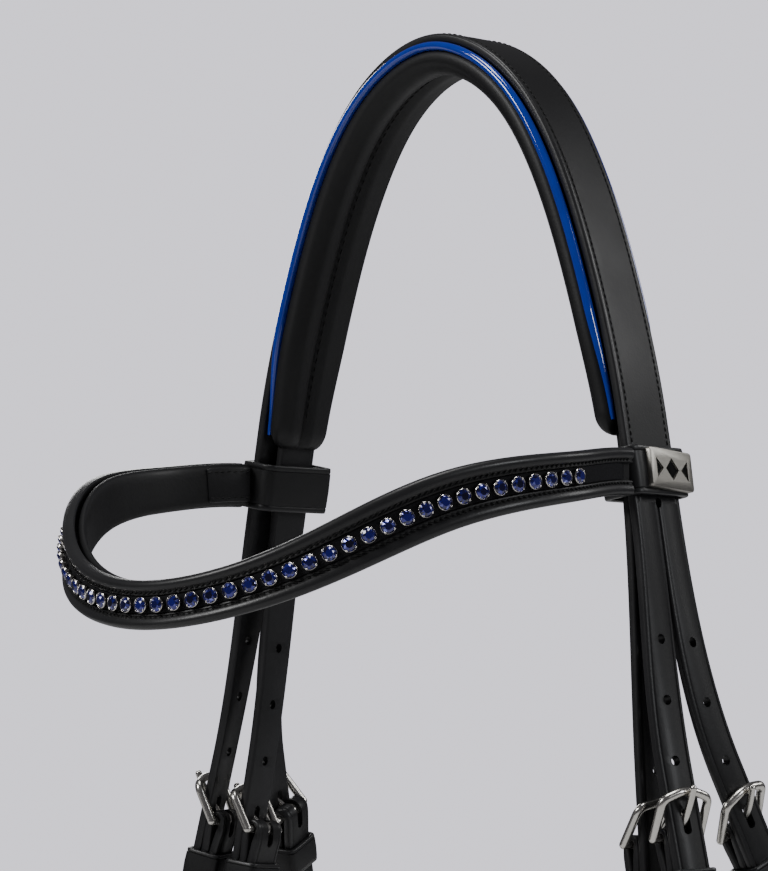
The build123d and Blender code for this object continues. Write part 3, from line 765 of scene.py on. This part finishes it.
# ---------------------------------------------------------------- billets
# The split ends of the headpiece are the cheek billet in front and the throatlash billet behind.
# The noseband's billets come out from under the padding inside them.
nose_start = leg_top - leg_out * 4.6 - leg_down * 2.5
for side in ("left", "right"):
    for name, buckle, across in (("cheek", cheek, -1), ("throatlash", throat, 1)):
        start = split + leg_rear * across * (STRAP_W + SLIT) / 2
        strip = billet_strip(buckle, start, leg_out, leg_down)
        crosses = name == "cheek"
        body, node = (None, [f"cheek_billet_end_{side}"]) if crosses else ("headpiece", [])
        made = billet_piece(f"{name}_billet_{side}", buckle, strip, STRAP_W, body, node)
        cut(made, split_holes)
        if side == "right":
            turn_over(made)
        if crosses:
            flip = np.array([1 if side == "left" else -1, 1, 1])
            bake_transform(made)
    strip = billet_strip(nose, nose_start, leg_out, leg_down)
    name = f"noseband_billet_{side}"
    made = billet_piece(f"{name}_leather", nose, strip, NOSE_STRAP_W, "headpiece", [name])
    if side == "right":
        turn_over(made)


# ---------------------------------------------------------------- cheekpieces
# A cheekpiece is one strap. Its lower end is folded up round the space for the bit ring and lies
# behind the strap under a keeper, where a hook stud holds both layers.
foot = Place((116, -13, -490), (0, -1, 0), (1, 0, 0))
bore, bit_up = 6.5, 52.0
line, outward = hanging(cheek, foot.point(0, STRAP_T / 2, bit_up + 4), (0, 0, -1), foot.y)
drop = [(STRAP_T / 2, z) for z in np.linspace(bit_up + 2, 22, 14)]
spread = [(STRAP_T / 2 + (bore + 0.27) * ease(u), 20.9 - 18.8 * u) for u in np.linspace(0, 0.96, 14)]
fold_r = bore + STRAP_T / 2
round_bit = [(fold_r * math.cos(a), fold_r * math.sin(a)) for a in np.radians(np.linspace(13, -90, 16))]
half_fold = np.array(drop + spread + round_bit)
fold_flat = np.concatenate([half_fold, (half_fold * (-1, 1))[-2:0:-1]])
normal = np.gradient(fold_flat, axis=0)[:, ::-1] * (-1, 1)
fold_line = foot.o + fold_flat[:, :1] * foot.y + fold_flat[:, 1:] * foot.z
fold_out = normal[:, :1] * foot.y + normal[:, 1:] * foot.z
strip = buckled_strip(cheek, np.concatenate([line, fold_line]), np.concatenate([outward, fold_out]))
bit_ring = ring_shape(foot, 23, 9, STRAP_W + 0.3, -STRAP_T - 0.15, STRAP_T + 0.15)
for side in ("left", "right"):
    body = f"cheekpiece_{side}"
    made = buckled_piece(f"{body}_leather", cheek, strip, STRAP_W, body, body)
    cut(made, rod(foot.point(0, 0, 38), foot.y, foot.x, 1.45, 14))
    if side == "right":
        turn_over(made)
    shape = bit_ring if side == "left" else mirrored(bit_ring)
    piece(f"bit_keeper_{side}_leather", shape, strap_leather, body, [f"bit_keeper_{side}"])


# ---------------------------------------------------------------- throatlash
# One long strap under the throat, with a buckle at each end and its middle turned a little upward
# at the front edge, the way it lies against the jaw.
line, outward = hanging(throat, (0, 96, -402), (-1, 0, 0), (0, 0.5, -1))
half = buckled_strip(throat, line, outward)
flip = np.array([-1, 1, 1])
line = np.concatenate([half.o, (half.o * flip)[-2::-1]])
strip = Strip(line, np.concatenate([half.y, (half.y * flip)[-2::-1]]))
buckled_piece("throatlash_leather", throat, strip, STRAP_W, "headpiece", "throatlash_strap", both_ends=True)


# ---------------------------------------------------------------- noseband
# A shaped band over the nose, 30 mm wide in front and 18 mm behind, sewn to a soft felt pad. Its cheek
# straps are sewn on at the sides, and the chin strap's two halves at its ends.
NOSE_X, NOSE_Z, NOSE_T, NOSE_PAD_T = 91.0, -430.0, 2.6, 6.0
NOSE_W, NOSE_BACK_W, NOSE_GROOVE = 30, 18, 12.4
nose_route = Route(
    [(0, -126, NOSE_Z), (56.42, -100.8, NOSE_Z), (NOSE_X, -8, NOSE_Z), (88.27, 32, NOSE_Z)],
    (1, 0, 0),
    (-0.25, 1, 0),
)
along = np.gradient(nose_route.points, axis=0)
nose_half = Strip(nose_route.points, np.stack([along[:, 1], -along[:, 0], 0 * along[:, 0]], 1))


def nose_wide(s):
    return NOSE_W - (NOSE_W - NOSE_BACK_W) * ease(np.abs(s) / nose_half.length * 1.25)


band = mirror_strip(nose_half.at(np.linspace(0, nose_half.length, 90)))
shape = sweep(band, strap_section(NOSE_W, NOSE_T, grooves=(NOSE_GROOVE,)), wide=nose_wide(band.s) / NOSE_W)
piece("nose_band_leather", shape, strap_leather, "headpiece", ["nose_band"])
row_place = nose_wide(band.s) / NOSE_W * NOSE_GROOVE
rows = [stitch_mesh(band.shifted(k * row_place, 0), 0, NOSE_T / 2 - 0.05) for k in (-1, 1)]
piece("nose_band_stitches", joined(*rows), thread, "headpiece")

felt = mirror_strip(nose_half.at(np.linspace(0, nose_half.length - 26, 90)))
close = np.sqrt(np.clip(1 - (1 - np.clip((felt.length / 2 - np.abs(felt.s)) / 6, 0, 1)) ** 2, 0.05, 1))
felt_w = NOSE_W + 2
felt_line = felt.shifted(0, -(NOSE_T + NOSE_PAD_T) / 2 - 0.6)
felt_wide = (nose_wide(felt.s) + 2) / felt_w * close
section = squared_round(felt_w / 2, NOSE_PAD_T / 2, 48, 0.5)
made = piece(
    "nose_band_soft_padding",
    sweep(felt_line, section, wide=felt_wide, deep=close, inset=0),
    pad_leather,
    "headpiece",
    ["nose_band_padding"],
    angle=60,
)

seam_out = NOSE_T / 2 + 0.1 + STRAP_T / 2
seam_x, seam_y = NOSE_X + seam_out + 1.0, -6.0
line, outward = hanging(nose, (seam_x, seam_y, NOSE_Z + 17), (0, 0, -1), (1, 0, 0))
line = np.concatenate([line, [(seam_x, seam_y, z) for z in np.linspace(NOSE_Z + 15, NOSE_Z - 17, 16)]])
outward = np.concatenate([outward, np.tile((1.0, 0, 0), (16, 1))])
strip = buckled_strip(nose, line, outward)
lower = strip.at(np.linspace(strip.length - 34, strip.length, 20))
box = [stitch_mesh(lower, k * 5.3, STRAP_T / 2 - 0.05, start=2, end=2) for k in (-1, 1)]
for side in ("left", "right"):
    node = f"noseband_cheek_strap_{side}"
    made = buckled_piece(f"{node}_leather", nose, strip, NOSE_STRAP_W, "headpiece", node)
    shape = joined(*box)
    if side == "right":
        turn_over(made)
        shape = mirrored(shape)
    piece(f"{node}_stitches", shape, thread, "headpiece")

back = nose_half.at(np.linspace(nose_half.length - 16, nose_half.length, 8)).shifted(0, seam_out)
back_along = np.cross(back.x[-1], back.y[-1])
line, outward = hanging(chin, back.o[-1], -back_along, back.y[-1])
line, outward = np.concatenate([line, back.o[-2::-1]]), np.concatenate([outward, back.y[-2::-1]])
strip = buckled_strip(chin, line, outward)
buckled_piece("chin_strap_left_leather", chin, strip, NOSE_STRAP_W, "headpiece", "chin_strap_left")
strip = billet_strip(chin, back.o[-1] * flip, back.y[-1] * flip, back_along * flip)
line = np.concatenate([(back.o * flip)[:-1], strip.o])
strip = Strip(line, np.concatenate([(back.y * flip)[:-1], strip.y]))
billet_piece("chin_strap_right_leather", chin, strip, NOSE_STRAP_W, "headpiece", ["chin_strap_right"])


# ---------------------------------------------------------------- browband
# Outer leather with a rolled edge and a stitched ridge on each side of a recessed suede channel, over
# a soft lining. It runs level from one headpiece loop, down over the forehead and up to the other.
loop_place = Place(leg_point(loop_z), leg_rear, leg_out)
LOOP_OUT, LOOP_IN, LOOP_T, LOOP_H, loop_w = 2.9, -7.7, 2.0, 15.4, 26.4
band_end = loop_place.point(-(loop_w / 2 + LOOP_T + 1.1), LOOP_OUT + LOOP_T, 0) + leg_down * 1.2
band_route = Route(
    [(0, -146, -173), (47.3, -130.7, -162.5), (77.5, -93.9, -142.0), (88.7, -44.9, -133.7), band_end],
    (1, 0, 0),
    leg_rear,
)
along = np.gradient(band_route.points, axis=0)
band_half = Strip(band_route.points, np.stack([along[:, 1], -along[:, 0], 0 * along[:, 0]], 1))
band = mirror_strip(band_half.at(np.concatenate([stops(band_half.length, 2.0)[:-1], [band_half.length]])))
BAND_W = 14.8


def band_wide(strip):
    return 1 + 3.0 / BAND_W * np.sin(math.pi * np.abs(strip.s) / band_half.length) ** 3


roll = [(0.03, -2.7), (0, -1.8), (0.18, -1.05), (0.55, -0.48), (1.05, -0.14), (1.65, 0), (2.3, -0.1)]
row_in = 3.8
ridge = [(2.9, -0.35), (3.35, -0.66), (3.62, -0.95), (row_in, -1.02), (3.98, -0.86), (4.25, -0.7)]
ridge += [(4.55, -0.8), (4.75, -1.15), (4.8, -1.95)]
# The outer roll is flagged as edge, so its colour is painted lighter: a painted highlight along the roll.
half = [(BAND_W / 2 - e, y, 1 if e < 3 else 0) for e, y in [(0.5, -3.9), (0.1, -3.5)] + roll + ridge]
section = np.array(half + [(0, -1.95, 0)] + [(-x, y, e) for x, y, e in half[::-1]])
piece(
    "browband_outer_leather",
    sweep(band, section, wide=band_wide(band), inset=0),
    strap_leather,
    "browband",
    ["browband_leather"],
)
rows = []
for k in (-1, 1):
    row = band.shifted(k * (BAND_W / 2 - row_in) * band_wide(band), 0)
    rows.append(stitch_mesh(row, 0, -0.78, pitch=2.0, long=1.35, thick=0.36, slant=k * 0.55, start=2, end=2))
piece("browband_stitches", joined(*rows), thread, "browband")

suede = Finish("suede", Roughness=0.9, Specular_IOR_Level=0.2)
nap = suede.noise(1500, 3.0)
suede.colour(suede.mix(nap, (0.004, 0.004, 0.005, 1), (0.016, 0.016, 0.018, 1)))
suede.bump(nap, 0.12 * mm)
suede = suede.material
strip = mirror_strip(band_half.at(np.linspace(0, band_half.length - 4, 70)))
shape = sweep(strip.shifted(0, -1.45), strap_section(5.1, 0.5, corner=0.2, crown=0), wide=band_wide(strip))
piece("browband_channel", shape, suede, "browband", ["crystal_channel"])

lining = mirror_strip(band_half.at(stops(band_half.length, 2.4)))
section = squared_round(BAND_W / 2 - 0.5, 1.6, 40, 0.45)
made = piece(
    "browband_soft_lining",
    sweep(lining.shifted(0, -6.3), section, wide=band_wide(lining), inset=0.4),
    pad_leather,
    "browband",
    ["browband_lining"],
    angle=60,
)

ring = ring_shape(
    loop_place, -LOOP_H / 2, LOOP_H, loop_w, LOOP_IN, LOOP_OUT, thick=LOOP_T, bend=2.6, crease=1.9
)
tab = lining.at(np.linspace(lining.s[-1] - 17, lining.s[-1] - 0.5, 14)).shifted(0, -8.1)
tab_shape = sweep(tab, strap_section(11.5, 0.8, corner=0.35, crown=0.1))
tab_row = [stitch_mesh(tab, k * 4.3, -0.45, pitch=2.4, long=1.7, start=1, end=1) for k in (-1, 1)]
tab_stitches = joined(*tab_row)
for side in ("left", "right"):
    if side == "right":
        ring, tab_shape, tab_stitches = mirrored(ring), mirrored(tab_shape), mirrored(tab_stitches)
    node = f"browband_loop_{side}"
    piece(f"{node}_leather", ring, strap_leather, "browband", [node])
    piece(f"browband_tab_{side}", tab_shape, strap_leather, "browband")
    piece(f"browband_tab_stitches_{side}", tab_stitches, thread, "browband")


# ---------------------------------------------------------------- crystals
# Forty-nine foil-backed sapphire crystals, cut like round brilliants, each held in a cup of bright
# metal with four claws. The cups' feet are pressed into the channel.
def turned_shape(profile, sides=24):
    """A closed ring of revolution about Z from (radius, height) points."""
    count = len(profile)
    points = [
        (r * math.cos(2 * math.pi * k / sides), r * math.sin(2 * math.pi * k / sides), h)
        for k in range(sides)
        for r, h in profile
    ]
    faces = []
    for k in range(sides):
        a, b = k * count, (k + 1) % sides * count
        for i in range(count):
            n = (i + 1) % count
            faces.append((a + i, b + i, b + n, a + n))
    return np.array(points), faces, np.zeros(len(points))


def brilliant(radius, base, girdle, crown):
    """A crystal about Z: base, girdle, then upper girdle, kite and star facets round a table."""
    points = []
    for ring_radius, height, sides, turn in (
        (radius * 0.8, base, 16, 0),
        (radius, base + 0.3, 16, 0),
        (radius, base + girdle, 16, 0),
        (radius * 0.8, base + girdle + crown * 0.52, 8, 0.5),
        (radius * 0.56, base + girdle + crown, 8, 0),
    ):
        for k in range(sides):
            a = 2 * math.pi * (k + turn) / sides
            points.append((ring_radius * math.cos(a), ring_radius * math.sin(a), height))
    faces = [tuple(range(15, -1, -1)), tuple(range(56, 64))]
    for k in range(16):
        n = (k + 1) % 16
        faces += [(k, n, 16 + n, 16 + k), (16 + k, 16 + n, 32 + n, 32 + k)]
    for k in range(8):
        n, low_left = (k + 1) % 8, 32 + 2 * k
        middle, low_right, before = 32 + 2 * k + 1, 32 + (2 * k + 2) % 16, 48 + (k + 7) % 8
        faces += [(low_left, middle, 48 + k), (middle, low_right, 48 + k), (48 + k, 56 + n, 56 + k)]
        faces += [(low_left, 48 + k, 56 + k), (low_left, 56 + k, before)]
    return np.array(points), faces, np.zeros(len(points))


def turned(points, angle):
    """The first two coordinates of points turned about Z."""
    x, y = points[:, 0], points[:, 1]
    return x * math.cos(angle) - y * math.sin(angle), x * math.sin(angle) + y * math.cos(angle)


cup_wall = [(2.1, 0.42), (2.1, 1.2), (2.16, 1.42), (2.28, 1.52), (2.42, 1.4), (2.48, 1.1), (2.44, 0.7)]
cup = turned_shape(cup_wall + [(2.3, 0), (1.2, 0), (1.2, 0.42)])
claw = turned_shape([(0.0, 0), (0.3, 0), (0.34, 0.16), (0.2, 0.32), (0.0, 0.36)], sides=8)
claws = []
for k in range(4):
    a = math.pi * (0.25 + 0.5 * k)
    claws.append((claw[0] + (2.14 * math.cos(a), 2.14 * math.sin(a), 1.36), claw[1], claw[2]))
cup = joined(cup, *claws)
stone = brilliant(2.08, 0.44, 0.9, 0.8)
crystal_pitch, seat_in = 6.3, 0.8
cups, stones, painted_glints, draw = [], [], [], np.random.default_rng(7)
for i in range(-24, 25):
    at = band_half.at(np.array([abs(i) * crystal_pitch, band_half.length]))
    to_side = (1 if i >= 0 else -1, 1, 1)
    o, y, x = at.o[0] * to_side, at.y[0] * to_side, at.x[0]
    z = np.cross(x, y)
    spin = math.radians(draw.uniform(0, 45))
    for mesh, store, angle in ((cup, cups, 0), (stone, stones, spin)):
        u, v = turned(mesh[0], angle)
        set_in = o - y * seat_in + u[:, None] * z + v[:, None] * x + mesh[0][:, 2:] * y
        store.append((set_in, mesh[1], mesh[2]))
    # Each facet gets a random value that sets its colour: painted glints and inner reflections.
    painted_glints.append(draw.uniform(0, 1, len(stone[1])) ** 1.6)

silver = Finish("setting_silver", Metallic=1.0, Specular_IOR_Level=0.6)
wear = silver.noise(400, 2.0)
silver.colour(silver.mix(wear, (0.72, 0.69, 0.66, 1), (0.55, 0.53, 0.51, 1)))
silver.rough(0.12 + 0.1 * wear)
silver = silver.material
piece("crystal_cups", joined(*cups), silver, "browband", ["crystal_settings"], angle=50)

sapphire = Finish("sapphire", Metallic=0.5, Roughness=0.04, Coat_Weight=1.0, Coat_Roughness=0.0, Coat_IOR=1.6)
# Painted reflection: a facet's colour runs from dark navy to royal blue with its value, and the highest
# values paint it pale blue as a glint.
painted_glint = sapphire.attribute("painted_glint")
deep = sapphire.mix(painted_glint * 1.6, (0.0012, 0.0008, 0.02, 1), (0.008, 0.008, 0.26, 1))
sapphire.colour(sapphire.mix(painted_glint * 5.0 - 4.2, deep, (0.3, 0.34, 0.95, 1)))
sapphire = sapphire.material
made = piece("crystal_stones", joined(*stones), sapphire, "browband", ["crystals"], angle=1)
painted_glints = np.concatenate(painted_glints).astype(np.float32)
made.data.attributes.new("painted_glint", "FLOAT", "FACE").data.foreach_set("value", painted_glints)


# ---------------------------------------------------------------- badge
# A brushed nickel block riveted to the left loop, with rounded edges and an engraved lozenge between
# two triangles. The engraving's floors are near black.
badge_place = Place(loop_place.point(2.4, LOOP_OUT + LOOP_T, 0), leg_rear, leg_out)
BADGE_W, BADGE_H, BADGE_T, BADGE_ROUND = 23.0, 12.6, 2.0, 1.1


def slab(outline, low, high):
    """A block over a flat outline given counter-clockwise, with a small bevel round its top."""
    flat = np.array(outline, float)
    centre = flat.mean(0)
    rings = [(0, low), (0, high - 0.35), (0.12, high - 0.1), (0.35, high)]
    points = []
    for inset, height in rings:
        size = 1 - inset / np.abs(flat - centre).max(0)
        points += [(*(centre + (p - centre) * size), height) for p in flat]
    count = len(flat)
    faces = [tuple(range(count - 1, -1, -1)), tuple(range(3 * count, 4 * count))]
    for r in range(3):
        for k in range(count):
            n = (k + 1) % count
            faces.append((r * count + k, r * count + n, (r + 1) * count + n, (r + 1) * count + k))
    return np.array(points), faces, np.zeros(len(points))


def set_on(place, shape, roll=math.radians(-3.2)):
    """A shape about Z laid on the badge's place, rolled a little with the browband's end."""
    u, v = turned(shape[0], roll)
    points = place.o + u[:, None] * place.x + v[:, None] * np.cross(place.y, place.x)
    return points + shape[0][:, 2:] * place.y, shape[1], shape[2]


outline = []
for cx, cy, start in ((1, 1, 0), (-1, 1, 90), (-1, -1, 180), (1, -1, 270)):
    for turn in (0, 22, 45, 67, 90):
        a = math.radians(start + turn)
        x = cx * (BADGE_W / 2 - BADGE_ROUND) + BADGE_ROUND * math.cos(a)
        outline.append((x, cy * (BADGE_H / 2 - BADGE_ROUND) + BADGE_ROUND * math.sin(a)))
nickel = Finish("brushed_nickel", Metallic=1.0)
brush = nickel.node("Mapping", Vector=nickel.place(), Scale=(400, 400, 9000))
lines = nickel.noise(1.0, 3.0, place=brush)
nickel.colour(nickel.mix(lines, (0.27, 0.26, 0.235, 1), (0.38, 0.365, 0.335, 1)))
nickel.rough(0.3 + 0.16 * lines)
nickel.bump(lines, 0.01 * mm)
nickel = nickel.material
plate = piece(
    "badge_block",
    set_on(badge_place, slab(outline, 0, BADGE_T)),
    nickel,
    "browband",
    ["badge_plate", "badge_rivets"],
)
marks = []
for flat in (
    [(3.6, 0), (0, 3.6), (-3.6, 0), (0, -3.6)],
    [(8.6, -3.2), (8.6, 3.2), (4.9, 0)],
    [(-8.6, 3.2), (-8.6, -3.2), (-4.9, 0)],
):
    marks.append(set_on(badge_place, slab(flat, BADGE_T - 0.55, BADGE_T + 1.2)))
cut(plate, joined(*marks))
# The engraving's floors are near black.
dark_floor = Finish("engraving_floor_dark", Roughness=0.8, Specular_IOR_Level=0.1)
grain = dark_floor.noise(900, 2.0)
dark_floor.colour(dark_floor.mix(grain, (0.002, 0.002, 0.002, 1), (0.005, 0.005, 0.005, 1)))
floors = []
for flat in (
    [(3.55, 0), (0, 3.55), (-3.55, 0), (0, -3.55)],
    [(8.55, -3.15), (8.55, 3.15), (4.95, 0)],
    [(-8.55, 3.15), (-8.55, -3.15), (-4.95, 0)],
):
    floors.append(set_on(badge_place, slab(flat, BADGE_T - 1.0, BADGE_T - 0.45)))
piece("badge_engraving", joined(*floors), dark_floor.material, "browband")


# ---------------------------------------------------------------- nickel hardware
# Buckle frames and tongues are bent from nickel-plated steel wire and pivot on the straps' folds. The
# hook studs are turned from it and hold the cheekpieces' folded ends. The plating is polished.
polished = Finish("polished_nickel", Metallic=1.0)
cloud = polished.noise(260, 4.0)
fine = polished.noise(4000, 2.0)
polished.colour(polished.mix(cloud, (0.70, 0.68, 0.64, 1), (0.56, 0.54, 0.50, 1)))
polished.rough(0.14 + 0.14 * cloud + 0.05 * fine)
polished.bump(fine, 0.006 * mm)
polished = polished.material
for name, node in frame["nodes"].items():
    if any(word in name for word in ("buckle_frame", "buckle_tongue", "hook_stud")):
        node.data.materials.clear()
        node.data.materials.append(polished)
        node.data.shade_smooth()
        node.data.set_sharp_from_angle(angle=math.radians(40))
